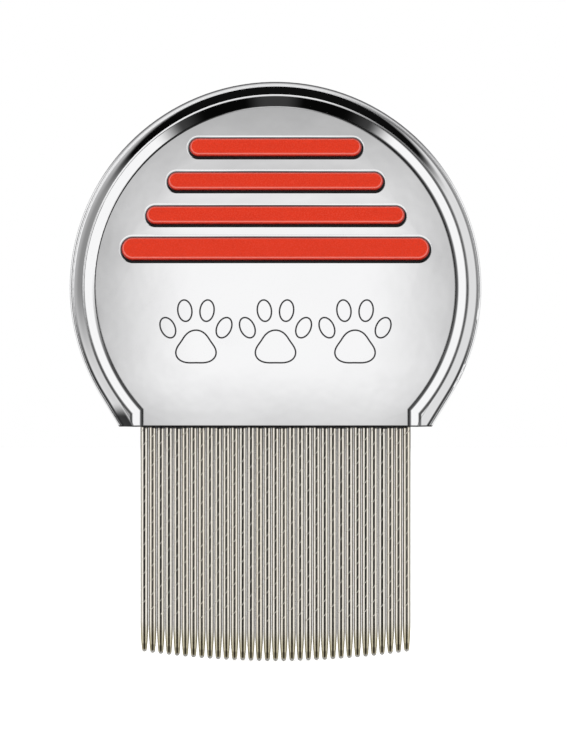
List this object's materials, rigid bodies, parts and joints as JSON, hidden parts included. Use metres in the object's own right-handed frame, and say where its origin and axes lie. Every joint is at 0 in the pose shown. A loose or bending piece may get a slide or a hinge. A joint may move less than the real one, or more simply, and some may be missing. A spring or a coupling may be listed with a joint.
{
  "type": "flea comb",
  "caption": "Fine-toothed comb with a round pressed-steel handle, stacked grip strips on both faces and a single row of long round metal teeth.",
  "frame": {"origin": "at the tip of the middle tooth, on the middle plane of the handle, which is the bottom centre of the whole comb", "axes": "+Z from the tips of the teeth to the top of the handle, -Y out of the front face, +X to the right of someone who looks at the front"},
  "size_m": [0.067, 0.0068, 0.0943],
  "materials": {
    "polished_steel": "polished stainless sheet with fine satin wear",
    "tooth_steel": "ground stainless wire, slightly warm",
    "red_grip": "glossy soft moulded plastic",
    "core_plastic": "moulded filler",
    "bar_steel": "milled steel",
    "epoxy": "dark cured epoxy"
  },
  "bodies": {
    "root": {"front_shell": "polished_steel", "back_shell": "polished_steel", "handle_core": "core_plastic", "clamp_bar_front": "bar_steel", "clamp_bar_back": "bar_steel", "mouth_seal": "epoxy", "front_grip_1": "red_grip", "front_grip_2": "red_grip", "front_grip_3": "red_grip", "front_grip_4": "red_grip", "back_grip_1": "red_grip", "back_grip_2": "red_grip", "back_grip_3": "red_grip", "back_grip_4": "red_grip", "tooth_01": "tooth_steel", "tooth_02": "tooth_steel", "tooth_03": "tooth_steel", "tooth_04": "tooth_steel", "tooth_05": "tooth_steel", "tooth_06": "tooth_steel", "tooth_07": "tooth_steel", "tooth_08": "tooth_steel", "tooth_09": "tooth_steel", "tooth_10": "tooth_steel", "tooth_11": "tooth_steel", "tooth_12": "tooth_steel", "tooth_13": "tooth_steel", "tooth_14": "tooth_steel", "tooth_15": "tooth_steel", "tooth_16": "tooth_steel", "tooth_17": "tooth_steel", "tooth_18": "tooth_steel", "tooth_19": "tooth_steel", "tooth_20": "tooth_steel", "tooth_21": "tooth_steel", "tooth_22": "tooth_steel", "tooth_23": "tooth_steel", "tooth_24": "tooth_steel", "tooth_25": "tooth_steel", "tooth_26": "tooth_steel", "tooth_27": "tooth_steel", "tooth_28": "tooth_steel", "tooth_29": "tooth_steel", "tooth_30": "tooth_steel", "tooth_31": "tooth_steel", "tooth_32": "tooth_steel", "tooth_33": "tooth_steel"}
  },
  "joints": []
}
